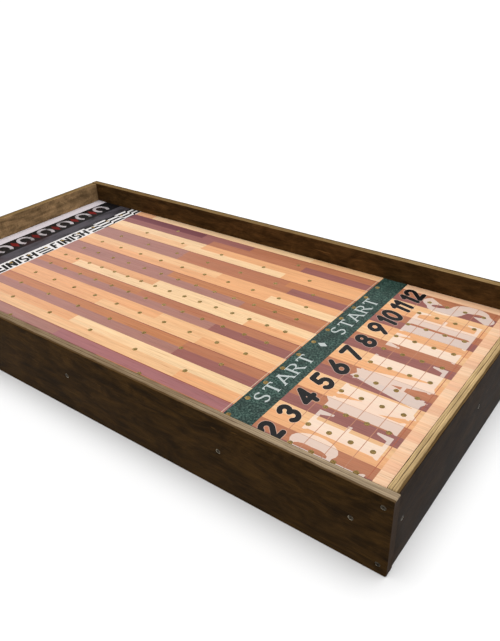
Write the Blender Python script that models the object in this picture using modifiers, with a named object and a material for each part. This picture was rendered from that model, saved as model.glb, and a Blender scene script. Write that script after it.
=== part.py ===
"""Horse-race peg board: a printed, drilled playing field screwed inside a deep plywood tray.

Frame: the origin is the middle of the underside. X runs along the lanes, from the finish end to
the scratch end. Y runs across the lanes, from lane 2 to lane 12. Z is up. Everything is in metres.
"""
import math

import bmesh
import bpy
from mathutils import Matrix, Vector

# ---- tray ----------------------------------------------------------------------------------
FIELD_LENGTH = 1.2192        # inside length of the tray, 48 in
FIELD_WIDTH = 0.6096         # inside width of the tray, 24 in
SIDE_THICKNESS = 0.018       # plywood of the four boards
SIDE_HEIGHT = 0.1397         # height of the four boards, 5 1/2 in
RIM_DEPTH = 0.050            # from the rim down to the playing face
END_OVERHANG = 0.002         # how far the long sides run past the end boards
EDGE_BREAK = 0.0008          # sanded edges of the boards
CORNER_RADIUS = 0.004        # rounded lower corners of the long sides

# ---- playing field -------------------------------------------------------------------------
SHEET_THICKNESS = 0.003      # printed face
PANEL_THICKNESS = 0.018      # plywood under the printed face
FIELD_CLEARANCE = 0.0008     # between the field's edges and the boards
TOUCH_GAP = 0.0003           # between pieces that touch

# ---- lanes and peg holes -------------------------------------------------------------------
FIRST_LANE = 2
LAST_LANE = 12
EDGE_STRIP = 0.023           # plain strip outside the first and the last lane
PEG_HOLE_DIAMETER = 0.0095   # 3/8 in pegs
PEG_HOLE_DEPTH = 0.015       # below the playing face
PEG_HOLE_SIDES = 8
TRACK_START_TO_END = 0.3076      # start line of the track, from the scratch end board
TRACK_FINISH_TO_END = 0.1696     # finish line of the track, from the finish end board
# how many track holes a lane has, and how far its first and last hole stand inside the two
# lines, by how many lanes it lies from the middle one
TRACK_HOLES = {0: (16, 0.0505), 1: (13, 0.0579), 2: (10, 0.0681), 3: (7, 0.0836),
               4: (5, 0.1242), 5: (2, 0.1862)}
START_HOLE_TO_END = 0.2946       # row of start holes, from the scratch end board
FINISH_HOLE_TO_END = 0.1446      # row of finish holes, from the finish end board
SCRATCH_COLUMNS = 4
SCRATCH_PITCH = 0.037
SCRATCH_LAST_TO_END = 0.0665     # last column of scratch holes, from the scratch end board

# ---- screws --------------------------------------------------------------------------------
SCREW_LENGTH = 0.038
SCREW_SHANK_DIAMETER = 0.0038
SCREW_HEAD_DIAMETER = 0.0082
SCREW_HEAD_HEIGHT = 0.0030
SCREW_TIP_LENGTH = 0.006
SCREW_SINK = 0.0003              # head below the board's face
SCREW_CLEARANCE = 0.0004         # hole radius beyond the screw's
PILOT_CLEARANCE = 0.001          # hole depth beyond the screw's tip
SCREW_SIDES = 12
CORNER_SCREW_INSET = 0.012       # from the end board's outer face
CORNER_SCREW_EDGE = 0.017        # from the rim and from the underside
SIDE_SCREW_INSETS = (0.058, 0.283)   # from each end of a long side, and one more at its middle
END_SCREW_INSET = 0.039              # from the long side's outer face, and one at the middle

# ---- worked out from the sizes above -------------------------------------------------------
HALF_LENGTH = FIELD_LENGTH / 2
HALF_WIDTH = FIELD_WIDTH / 2
FACE_Z = SIDE_HEIGHT - RIM_DEPTH
SHEET_BOTTOM = FACE_Z - SHEET_THICKNESS
PANEL_TOP = SHEET_BOTTOM - TOUCH_GAP
PANEL_BOTTOM = PANEL_TOP - PANEL_THICKNESS
PANEL_MIDDLE = PANEL_TOP - PANEL_THICKNESS / 2
END_OUTER = HALF_LENGTH + SIDE_THICKNESS
SIDE_OUTER = HALF_WIDTH + SIDE_THICKNESS
SIDE_HALF_LENGTH = END_OUTER + END_OVERHANG
MIDDLE_LANE = (FIRST_LANE + LAST_LANE) // 2
LANE_PITCH = (FIELD_WIDTH - 2 * EDGE_STRIP) / (LAST_LANE - FIRST_LANE + 1)


def lane_y(lane):
    """The middle line of a lane."""
    return (lane - MIDDLE_LANE) * LANE_PITCH


def clear_scene():
    """Remove what the startup file put in the scene."""
    for obj in list(bpy.data.objects):
        bpy.data.objects.remove(obj, do_unlink=True)


def new_collection(name):
    """A collection linked to the scene."""
    collection = bpy.data.collections.new(name)
    bpy.context.scene.collection.children.link(collection)
    return collection


def new_material(name, colour, roughness, metallic=0.0):
    """A Principled material of one colour."""
    material = bpy.data.materials.new(name)
    material.use_nodes = True
    shader = material.node_tree.nodes["Principled BSDF"]
    shader.inputs["Base Color"].default_value = (*colour, 1.0)
    shader.inputs["Roughness"].default_value = roughness
    shader.inputs["Metallic"].default_value = metallic
    material.diffuse_color = (*colour, 1.0)
    return material


def new_object(name, mesh, collection, material=None):
    """An object in a collection, with its material."""
    obj = bpy.data.objects.new(name, mesh)
    collection.objects.link(obj)
    if material is not None:
        mesh.materials.append(material)
    return obj


def box_mesh(name, size):
    """A box about the origin, its size applied to the mesh."""
    shape = bmesh.new()
    bmesh.ops.create_cube(shape, size=1.0)
    bmesh.ops.scale(shape, vec=Vector(size), verts=shape.verts)
    mesh = bpy.data.meshes.new(name)
    shape.to_mesh(mesh)
    shape.free()
    return mesh


def round_lower_corners(mesh, radius):
    """Round the two lower end corners of a board that stands along X."""
    shape = bmesh.new()
    shape.from_mesh(mesh)
    lower_ends = [
        edge for edge in shape.edges
        if abs(edge.verts[0].co.x - edge.verts[1].co.x) < TOUCH_GAP
        and edge.verts[0].co.z < 0 and edge.verts[1].co.z < 0
    ]
    bmesh.ops.bevel(shape, geom=lower_ends, offset=radius, offset_type='OFFSET', segments=4,
                    profile=0.5, affect='EDGES')
    shape.to_mesh(mesh)
    shape.free()


def break_edges(obj):
    """Sand the sharp edges of a board."""
    bevel = obj.modifiers.new("broken edges", 'BEVEL')
    bevel.width = EDGE_BREAK
    bevel.segments = 1
    bevel.limit_method = 'ANGLE'
    bevel.angle_limit = math.radians(50)


def cut(obj, cutter):
    """Cut one object away from another."""
    boolean = obj.modifiers.new("cut by " + cutter.name, 'BOOLEAN')
    boolean.operation = 'DIFFERENCE'
    boolean.solver = 'EXACT'
    boolean.object = cutter


def as_cutter(obj):
    """Show an object as a wire guide only."""
    obj.hide_render = True
    obj.display_type = 'WIRE'
    return obj


def turned(name, profile, sides, collection, material=None):
    """A solid of revolution about Z from (radius, z) points, top to bottom."""
    mesh = bpy.data.meshes.new(name)
    points = [(radius, 0.0, z) for radius, z in profile]
    edges = [(index, index + 1) for index in range(len(points) - 1)]
    mesh.from_pydata(points, edges, [])
    obj = new_object(name, mesh, collection, material)
    screw = obj.modifiers.new("turned", 'SCREW')
    screw.axis = 'Z'
    screw.angle = math.tau
    screw.steps = sides
    screw.render_steps = sides
    screw.use_merge_vertices = True
    screw.merge_threshold = 0.00001
    screw.use_normal_calculate = False
    return obj


def aim(obj, position, outward):
    """Put a turned solid at a position with its +Z end looking outward."""
    turn = Vector(outward).to_track_quat('Z', 'Y').to_matrix().to_4x4()
    obj.matrix_world = Matrix.Translation(position) @ turn


# ---- peg holes -----------------------------------------------------------------------------
def peg_hole_places():
    """The (x, y) of every peg hole in the playing field."""
    places = []
    for lane in range(FIRST_LANE, LAST_LANE + 1):
        y = lane_y(lane)
        count, inset = TRACK_HOLES[abs(lane - MIDDLE_LANE)]
        first = HALF_LENGTH - TRACK_START_TO_END - inset
        last = TRACK_FINISH_TO_END + inset - HALF_LENGTH
        pitch = (first - last) / (count - 1)
        places += [(first - index * pitch, y) for index in range(count)]
        places.append((HALF_LENGTH - START_HOLE_TO_END, y))
        places.append((FINISH_HOLE_TO_END - HALF_LENGTH, y))
        scratch_last = HALF_LENGTH - SCRATCH_LAST_TO_END
        places += [(scratch_last - index * SCRATCH_PITCH, y) for index in range(SCRATCH_COLUMNS)]
    return places


def peg_hole_cutter(collection):
    """All the peg holes as one cutter, from above the face down to the holes' floor."""
    above = RIM_DEPTH / 2
    height = above + PEG_HOLE_DEPTH
    middle = FACE_Z + above - height / 2
    shape = bmesh.new()
    for x, y in peg_hole_places():
        place = Matrix.Translation((x, y, middle)) @ Matrix.Rotation(math.pi / PEG_HOLE_SIDES, 4, 'Z')
        bmesh.ops.create_cone(shape, cap_ends=True, segments=PEG_HOLE_SIDES,
                              radius1=PEG_HOLE_DIAMETER / 2, radius2=PEG_HOLE_DIAMETER / 2,
                              depth=height, matrix=place)
    mesh = bpy.data.meshes.new("peg_hole_cutter")
    shape.to_mesh(mesh)
    shape.free()
    return as_cutter(new_object("peg_hole_cutter", mesh, collection))


# ---- screws --------------------------------------------------------------------------------
def screw_profile():
    """A countersunk wood screw, its head's face at the origin and its tip below."""
    head = SCREW_HEAD_DIAMETER / 2
    shank = SCREW_SHANK_DIAMETER / 2
    return [(0.0, 0.0), (head, 0.0), (shank, -SCREW_HEAD_HEIGHT),
            (shank, SCREW_TIP_LENGTH - SCREW_LENGTH), (0.0, -SCREW_LENGTH)]


def screw_hole_profile():
    """The countersunk hole that clears the screw all round and opens past the board's face."""
    head = SCREW_HEAD_DIAMETER / 2 + SCREW_CLEARANCE
    shank = SCREW_SHANK_DIAMETER / 2 + SCREW_CLEARANCE
    mouth = 4 * SCREW_SINK
    slope = (head - shank) / SCREW_HEAD_HEIGHT
    return [(0.0, mouth), (head + slope * mouth, mouth), (shank, -SCREW_HEAD_HEIGHT),
            (shank, -SCREW_LENGTH - PILOT_CLEARANCE), (0.0, -SCREW_LENGTH - PILOT_CLEARANCE)]


def add_screw(name, position, outward, crossed, parts, cutters, material):
    """A screw whose head faces outward from a board's face, and its hole in the boards it crosses."""
    seat = Vector(position) - Vector(outward) * SCREW_SINK
    screw = turned(name, screw_profile(), SCREW_SIDES, parts, material)
    aim(screw, seat, outward)
    hole = as_cutter(turned(name + "_hole", screw_hole_profile(), SCREW_SIDES, cutters))
    aim(hole, seat, outward)
    for board in crossed:
        cut(board, hole)
    return screw


# ---- pieces --------------------------------------------------------------------------------
def side_board(name, side, parts, material):
    """A long side: side is -1 next to lane 2 and +1 next to lane 12."""
    mesh = box_mesh(name, (2 * SIDE_HALF_LENGTH, SIDE_THICKNESS, SIDE_HEIGHT))
    round_lower_corners(mesh, CORNER_RADIUS)
    board = new_object(name, mesh, parts, material)
    board.location = (0, side * (HALF_WIDTH + SIDE_THICKNESS / 2), SIDE_HEIGHT / 2)
    break_edges(board)
    return board


def end_board(name, end, parts, material):
    """An end board between the long sides: end is -1 at the finish and +1 at the scratch holes."""
    mesh = box_mesh(name, (SIDE_THICKNESS, FIELD_WIDTH - 2 * TOUCH_GAP, SIDE_HEIGHT))
    board = new_object(name, mesh, parts, material)
    board.location = (end * (HALF_LENGTH + SIDE_THICKNESS / 2), 0, SIDE_HEIGHT / 2)
    break_edges(board)
    return board


def field_layer(name, top, thickness, parts, material):
    """One layer of the playing field, inside the tray."""
    size = (FIELD_LENGTH - 2 * FIELD_CLEARANCE, FIELD_WIDTH - 2 * FIELD_CLEARANCE, thickness)
    layer = new_object(name, box_mesh(name, size), parts, material)
    layer.location = (0, 0, top - thickness / 2)
    return layer


def build():
    """Model every piece of the board."""
    clear_scene()
    parts = new_collection("horse_race_peg_board")
    cutters = new_collection("cutters")

    stained = new_material("stained plywood", (0.050, 0.032, 0.018), 0.55)
    plywood = new_material("bare plywood", (0.42, 0.30, 0.16), 0.7)
    print_face = new_material("printed face", (0.72, 0.44, 0.26), 0.4)
    steel = new_material("screw steel", (0.45, 0.43, 0.38), 0.35, 1.0)

    near = side_board("near_side_board", -1, parts, stained)
    far = side_board("far_side_board", 1, parts, stained)
    scratch_end = end_board("scratch_end_board", 1, parts, stained)
    finish_end = end_board("finish_end_board", -1, parts, stained)
    panel = field_layer("playing_panel", PANEL_TOP, PANEL_THICKNESS, parts, plywood)
    sheet = field_layer("printed_face_sheet", FACE_Z, SHEET_THICKNESS, parts, print_face)

    peg_holes = peg_hole_cutter(cutters)
    cut(panel, peg_holes)
    cut(sheet, peg_holes)

    corner_heights = {"lower": CORNER_SCREW_EDGE, "upper": SIDE_HEIGHT - CORNER_SCREW_EDGE}
    corner_x = END_OUTER - CORNER_SCREW_INSET
    for side, side_name, board in ((-1, "near", near), (1, "far", far)):
        for end, end_name, other in ((1, "scratch", scratch_end), (-1, "finish", finish_end)):
            for level, z in corner_heights.items():
                add_screw(f"corner_screw_{side_name}_{end_name}_{level}",
                          (end * corner_x, side * SIDE_OUTER, z), (0, side, 0),
                          (board, other), parts, cutters, steel)
        insets = [SIDE_HALF_LENGTH - inset for inset in SIDE_SCREW_INSETS]
        row = insets + [0.0] + [-x for x in reversed(insets)]
        for number, x in enumerate(row, start=1):
            add_screw(f"side_screw_{side_name}_{number}", (x, side * SIDE_OUTER, PANEL_MIDDLE),
                      (0, side, 0), (board, panel), parts, cutters, steel)

    end_y = SIDE_OUTER - END_SCREW_INSET
    for end, end_name, board in ((1, "scratch", scratch_end), (-1, "finish", finish_end)):
        for number, y in enumerate((-end_y, 0.0, end_y), start=1):
            add_screw(f"end_screw_{end_name}_{number}", (end * END_OUTER, y, PANEL_MIDDLE),
                      (end, 0, 0), (board, panel), parts, cutters, steel)


build()
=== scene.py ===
"""Looks of the horse-race peg board: a drilled, printed field in a deep tray of stained plywood.

Frame: X runs along the lanes to the scratch end, Y across them from lane 2 to lane 12, Z is up.
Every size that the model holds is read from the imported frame; the print's layout is given as
distances from the field's two ends.
"""
import math

import bmesh
import bpy
import numpy as np
from mathutils import Matrix, Vector
from mathutils.geometry import delaunay_2d_cdt


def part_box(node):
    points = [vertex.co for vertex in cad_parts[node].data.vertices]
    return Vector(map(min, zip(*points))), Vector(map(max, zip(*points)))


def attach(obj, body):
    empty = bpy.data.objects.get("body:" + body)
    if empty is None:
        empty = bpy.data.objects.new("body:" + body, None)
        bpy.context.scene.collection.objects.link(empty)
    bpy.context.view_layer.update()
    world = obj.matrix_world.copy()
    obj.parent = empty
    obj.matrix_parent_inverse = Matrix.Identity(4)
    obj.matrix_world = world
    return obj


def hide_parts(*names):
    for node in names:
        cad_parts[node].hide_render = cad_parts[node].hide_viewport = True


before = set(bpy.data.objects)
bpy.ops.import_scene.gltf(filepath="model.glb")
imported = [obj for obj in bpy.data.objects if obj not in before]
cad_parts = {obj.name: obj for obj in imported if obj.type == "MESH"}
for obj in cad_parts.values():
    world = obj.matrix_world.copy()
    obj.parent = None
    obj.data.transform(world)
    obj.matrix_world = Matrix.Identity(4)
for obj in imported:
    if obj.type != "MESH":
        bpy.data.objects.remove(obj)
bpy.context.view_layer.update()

bl_info = {
    "name": "Horse-race peg board",
    "version": (1, 0, 0),
    "blender": (4, 5, 0),
    "location": "View3D > Sidebar > Peg Board",
    "description": "Builds the finished pieces of a horse-race peg board",
    "category": "Add Mesh",
}

NODES = sorted(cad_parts)
SHEET_LOW, SHEET_HIGH = (np.array(corner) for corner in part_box("printed_face_sheet"))
PANEL_LOW, PANEL_HIGH = (np.array(corner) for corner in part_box("playing_panel"))
FACE_Z = SHEET_HIGH[2]


# ---- shader maths --------------------------------------------------------------------------
def arithmetic(operation, reflected=False):
    """An operator that adds a Math node; a reflected one has the signal on its right."""
    def apply(self, other):
        return self.math(operation, *((other, self) if reflected else (self, other)))
    return apply


class Signal:
    """A shader value. Arithmetic on it adds Math nodes to its material."""

    def __init__(self, graph, socket):
        self.graph = graph
        self.socket = socket

    def math(self, operation, *values):
        """The result of one Math node."""
        return self.graph.node("ShaderNodeMath", {"operation": operation}, dict(enumerate(values)))

    __add__ = arithmetic("ADD")
    __radd__ = arithmetic("ADD", True)
    __sub__ = arithmetic("SUBTRACT")
    __rsub__ = arithmetic("SUBTRACT", True)
    __mul__ = arithmetic("MULTIPLY")
    __rmul__ = arithmetic("MULTIPLY", True)

    def __abs__(self):
        return self.math("ABSOLUTE", self)

    def fraction(self):
        """The part after the decimal point."""
        return self.math("FRACT", self)

    def floor(self):
        """The whole number below."""
        return self.math("FLOOR", self)

    def step(self, low, high):
        """0 below low, 1 above high and a smooth rise between; the other way when low > high."""
        start, end = (0.0, 1.0) if low < high else (1.0, 0.0)
        values = {"Value": self, "From Min": min(low, high), "From Max": max(low, high),
                  "To Min": start, "To Max": end}
        return self.graph.node("ShaderNodeMapRange", {"interpolation_type": "SMOOTHSTEP"}, values)


class Graph:
    """The nodes of one material."""

    def __init__(self, name):
        self.material = bpy.data.materials.new(name)
        self.material.use_nodes = True
        self.tree = self.material.node_tree
        self.shader = self.tree.nodes["Principled BSDF"]

    def node(self, kind, settings=None, inputs=None, output=0):
        """Add a node: its settings first, then the values or links of its sockets."""
        node = self.tree.nodes.new(kind)
        for key, value in (settings or {}).items():
            setattr(node, key, value)
        for key, value in (inputs or {}).items():
            self._feed(node.inputs[key], value)
        return Signal(self, node.outputs[output])

    def _feed(self, socket, value):
        if isinstance(value, Signal):
            self.tree.links.new(value.socket, socket)
        elif isinstance(value, tuple) and socket.type == "RGBA" and len(value) == 3:
            socket.default_value = (*value, 1.0)
        else:
            socket.default_value = value

    def place(self):
        """Object coordinates, in metres."""
        return self.node("ShaderNodeTexCoord", output="Object")

    def attribute(self, name, output="Vector"):
        """One of the piece's own attributes."""
        return self.node("ShaderNodeAttribute", {"attribute_name": name}, output=output)

    def stretch(self, vector, scale, shift=(0.0, 0.0, 0.0)):
        """Multiply a vector by a scale and add a shift."""
        settings = {"operation": "MULTIPLY_ADD"}
        return self.node("ShaderNodeVectorMath", settings, {0: vector, 1: scale, 2: shift})

    def axis(self, vector, name):
        """One axis of a vector: X, Y or Z."""
        return self.node("ShaderNodeSeparateXYZ", None, {0: vector}, output=name)

    def grey(self, value):
        """A number as a grey, to multiply a colour by."""
        return self.node("ShaderNodeCombineXYZ", None, {0: value, 1: value, 2: value})

    def noise(self, vector, scale, detail=3.0, roughness=0.55, distortion=0.0):
        """Soft noise between 0 and 1."""
        inputs = {"Vector": vector, "Scale": scale, "Detail": detail, "Roughness": roughness,
                  "Distortion": distortion}
        return self.node("ShaderNodeTexNoise", None, inputs)

    def grain(self, vector, scale, detail=3.0, roughness=0.55, distortion=0.0, shift=(0.0, 0.0, 0.0)):
        """Noise drawn out by a scale along each axis, and moved by a shift."""
        return self.noise(self.stretch(vector, scale, shift), 1.0, detail, roughness, distortion)

    def mix(self, factor, first, second, blend="MIX"):
        """A mix of two colours."""
        settings = {"data_type": "RGBA", "blend_type": blend}
        return self.node("ShaderNodeMix", settings, {0: factor, 6: first, 7: second}, output=2)

    def times(self, first, second):
        """Two colours multiplied."""
        return self.mix(1.0, first, second, "MULTIPLY")

    def bump(self, height, strength, distance):
        """A normal from a height between 0 and 1 that stands for a distance in metres."""
        inputs = {"Height": height, "Strength": strength, "Distance": distance}
        return self.node("ShaderNodeBump", None, inputs)

    def finish(self, colour, roughness, normal=None, **constants):
        """Feed the shader and give back the material. Underscores stand for spaces."""
        self._feed(self.shader.inputs["Base Color"], colour)
        self._feed(self.shader.inputs["Roughness"], roughness)
        if normal is not None:
            self._feed(self.shader.inputs["Normal"], normal)
        for key, value in constants.items():
            self._feed(self.shader.inputs[key.replace("_", " ")], value)
        return self.material


def srgb(red, green, blue):
    """A linear colour from 0 to 255 display values."""
    return tuple((value / 255) ** 2.2 for value in (red, green, blue))


STUDIO_LIGHT = 1.30
SHEEN = 0.03


def printed(red, green, blue):
    """The ink that looks like a display colour under the studio's light and sheen."""
    return tuple(max((value - SHEEN) / STUDIO_LIGHT, 0.003) for value in srgb(red, green, blue))


# ---- sizes and colours a user would change -------------------------------------------------
def length(name, description, default):
    """A distance in metres."""
    return bpy.props.FloatProperty(name=name, description=description, default=default,
                                   min=0.0, unit='LENGTH', precision=5)


def colour(name, description, default):
    """A colour."""
    return bpy.props.FloatVectorProperty(name=name, description=description, default=default,
                                         size=3, min=0.0, max=1.0, subtype='COLOR')


class BoardSettings(bpy.types.PropertyGroup):
    """Plywood boards and screws."""
    stain: colour("Stain", "Dark stain on the faces of the boards", srgb(54, 39, 20))
    # Painted shade: the scratch end board's outer face gets a darker stain to take back the light the pale
    # floor throws on it.
    end_stain: colour("End stain", "Stain outside the scratch end board", srgb(43, 33, 25))
    end_grain: colour("End grain", "Stained ends of the long boards", srgb(58, 48, 41))
    warm_stain: colour("Warm stain", "Stain on the board behind lane 12", srgb(75, 55, 33))
    # Partly painted light: the inside of the finish end board is stained lighter, both for a thinner stain
    # and to paint in light falling on it from the scratch end side.
    thin_stain: colour("Thin stain", "Stain inside the finish end board", srgb(145, 118, 85))
    ply: colour("Bare ply", "Bare plywood on the rim", srgb(186, 158, 114))
    soiled_ply: colour("Soiled ply", "Handled rim beside lane 2", srgb(156, 137, 112))
    dull_ply: colour("Dull ply", "Rim with stain soaked into it", srgb(150, 124, 84))
    glue: colour("Glue line", "Dark glue lines between the plies", srgb(72, 56, 42))
    arris: length("Arris", "Radius of the sanded edges", 0.0009)
    plies: bpy.props.IntProperty(name="Plies", description="Layers of the plywood", default=5)
    pilot: length("Pilot radius", "Radius of the screws' pilot holes", 0.0022)
    head: length("Head radius", "Radius of the screws' heads", 0.0041)


class PrintSettings(bpy.types.PropertyGroup):
    """Layout of the printed face. Distances run from the scratch end unless they say finish."""
    plain: length("Plain strip", "Plain strip at the scratch end", 0.0398)
    scratch_foot: length("Penalty word foot", "Foot of the word over the scratch holes", 0.0526)
    scratch_head: length("Penalty word head", "Head of the word over the scratch holes", 0.1806)
    numbers_foot: length("Numbers foot", "Foot of the lane numbers", 0.1956)
    numbers_head: length("Numbers head", "Head of the lane numbers", 0.2376)
    gate_start: length("Gate start", "Scratch side of the start band", 0.2469)
    gate_end: length("Gate end", "Track side of the start band", 0.3027)
    gate_foot: length("Gate word foot", "Foot of the start band's words", 0.2612)
    gate_head: length("Gate word head", "Head of the start band's words", 0.2892)
    finish_end: length("Finish band end", "Track side, from the finish end", 0.1735)
    finish_start: length("Finish band start", "Banner side, from the finish end", 0.1300)
    banner_start: length("Banner start", "Pale strip's edge, from the finish end", 0.0316)


class StageSettings(bpy.types.PropertyGroup):
    """Camera and floor."""
    eye: bpy.props.FloatVectorProperty(name="Eye", description="Where the camera stands",
                                       default=(0.8398, -0.8717, 0.7416), subtype='XYZ')
    look: bpy.props.FloatVectorProperty(name="Look", description="Point the camera looks at",
                                        default=(0.1703, -0.0035, 0.0897), subtype='XYZ')
    roll: bpy.props.FloatProperty(name="Roll", description="Turn about the view's axis",
                                  default=math.radians(-2.07), subtype='ANGLE')
    view_angle: bpy.props.FloatProperty(name="View angle", description="Across the frame's width",
                                        default=math.radians(42.23), subtype='ANGLE')
    floor: colour("Floor", "Pale floor", (0.82, 0.82, 0.82))


# ---- mesh helpers --------------------------------------------------------------------------
def make_mesh(name, points, faces, materials, indices=None):
    """An object at the origin from a point array and face lists, with its material slots."""
    mesh = bpy.data.meshes.new(name)
    mesh.from_pydata(np.asarray(points, dtype=float).tolist(), [], faces)
    for material in materials:
        mesh.materials.append(material)
    if indices is not None:
        mesh.polygons.foreach_set("material_index", np.asarray(indices, dtype=np.int32))
    mesh.update()
    piece = bpy.data.objects.new(name, mesh)
    bpy.context.scene.collection.objects.link(piece)
    return piece


def point_attribute(piece, name, kind, values):
    """Store one value for each point."""
    layer = piece.data.attributes.new(name, kind, 'POINT')
    key = "vector" if kind == 'FLOAT_VECTOR' else "value"
    layer.data.foreach_set(key, np.asarray(values, dtype=np.float32).ravel())


def corner_colours(piece, name, face_colours):
    """Store one colour for each face, on its corners."""
    mesh = piece.data
    totals = np.empty(len(mesh.polygons), dtype=np.int32)
    mesh.polygons.foreach_get("loop_total", totals)
    values = np.repeat(np.asarray(face_colours, dtype=np.float32), totals, axis=0)
    layer = mesh.color_attributes.new(name, 'FLOAT_COLOR', 'CORNER')
    layer.data.foreach_set("color", values.ravel())


def face_values(piece, name, values):
    """Store one number for each face."""
    layer = piece.data.attributes.new(name, 'FLOAT', 'FACE')
    layer.data.foreach_set("value", np.asarray(values, dtype=np.float32))


def hand_over(piece, node):
    """Let a piece stand for a CAD node."""
    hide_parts(node)
    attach(piece, "root")


def circle(centre, radius, count=28):
    """Points round a circle, anticlockwise: centre + radius (cos a, sin a)."""
    angle = np.arange(count) * math.tau / count
    return np.column_stack([centre[0] + radius * np.cos(angle), centre[1] + radius * np.sin(angle)])


def triangulate(outlines, margin=1e-7):
    """Cut the plane along closed outlines: points, triangles and the outlines round each one."""
    points = np.concatenate(outlines)
    ends = np.cumsum([len(outline) for outline in outlines])
    faces = [list(range(end - len(outline), end)) for outline, end in zip(outlines, ends)]
    result = delaunay_2d_cdt([Vector(point) for point in points.tolist()], [], faces, 0, margin)
    return np.array([tuple(point) for point in result[0]]), result[2], result[5]


def at_height(points, height):
    """Flat points, at a height."""
    return np.column_stack([points, np.full(len(points), height)])


def cut_out(outline, holes=()):
    """Points and triangles of the area inside an outline, without its holes."""
    points, triangles, owners = triangulate([outline, *holes])
    solid = np.array([max(held, default=-1) == 0 for held in owners])
    return points, np.array(triangles)[solid]


def border_edges(triangles):
    """The directed edges that only one triangle has, in the triangle's own direction."""
    faces = np.asarray(triangles)
    edges = np.concatenate([faces[:, [0, 1]], faces[:, [1, 2]], faces[:, [2, 0]]])
    present = {tuple(edge) for edge in edges.tolist()}
    return [edge for edge in present if (edge[1], edge[0]) not in present]


# ---- peg holes, read from the frame --------------------------------------------------------
def peg_holes():
    """Centres and radius of the peg holes, from the rings of points in the CAD face.

    Points closer together than the smallest spacing belong to one ring; a ring's centre is the
    middle of its extents and its radius is the mean distance of its points from there.
    """
    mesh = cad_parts["printed_face_sheet"].data
    points = np.empty(len(mesh.vertices) * 3, dtype=np.float32)
    mesh.vertices.foreach_get("co", points)
    points = points.reshape(-1, 3)
    top = points[points[:, 2] > FACE_Z - 1e-5][:, :2]
    inside = np.all(np.abs(top) < SHEET_HIGH[:2] - 0.003, axis=1)
    top = np.unique(np.round(top[inside], 6), axis=0)
    near = np.linalg.norm(top[:, None] - top[None], axis=2) < 0.012
    label = near.argmax(axis=1)
    rings = [top[label == index] for index in np.unique(label)]
    centres = np.array([(ring.min(axis=0) + ring.max(axis=0)) / 2 for ring in rings])
    radius = float(np.mean([np.linalg.norm(ring - centre, axis=1).mean()
                            for ring, centre in zip(rings, centres)]))
    return centres, radius


HOLES, HOLE_RADIUS = peg_holes()
LANE_ROWS = np.unique(np.round(HOLES[:, 1], 4))
FIRST_LANE = 2
MIDDLE_LANE = FIRST_LANE + len(LANE_ROWS) // 2
LANE_PITCH = float((LANE_ROWS[-1] - LANE_ROWS[0]) / (len(LANE_ROWS) - 1))
SCRATCH_ROWS = np.sort(np.unique(np.round(HOLES[:, 0], 4)))[-4:]


def hole_outlines(jitter, seed, count=28):
    """The round mouth of every peg hole, its edge a little rough."""
    random = np.random.default_rng(seed)
    outlines = []
    for centre in HOLES:
        ring = circle(centre, HOLE_RADIUS, count)
        rough = 1 - jitter * random.random((count, 1)) / HOLE_RADIUS
        outlines.append(centre + (ring - centre) * rough)
    return outlines


# ---- lettering -----------------------------------------------------------------------------
def arc(centre_x, centre_y, radius_x, radius_y, start, end, steps=14):
    """Points along an ellipse from one angle in degrees to another."""
    angle = np.radians(np.linspace(start, end, steps))
    return np.column_stack([centre_x + radius_x * np.cos(angle),
                            centre_y + radius_y * np.sin(angle)])


def path(*points):
    """A straight or bent stroke."""
    return np.array(points, dtype=float)


def joined(*runs):
    """One stroke from several runs of points."""
    return np.concatenate(runs)


# strokes that several letters share
STEM = path((0.12, 0), (0.12, 1))
FAR_STEM = path((0.68, 0), (0.68, 1))
TOP_ARM = path((0.12, 0.97), (0.60, 0.97))
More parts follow.
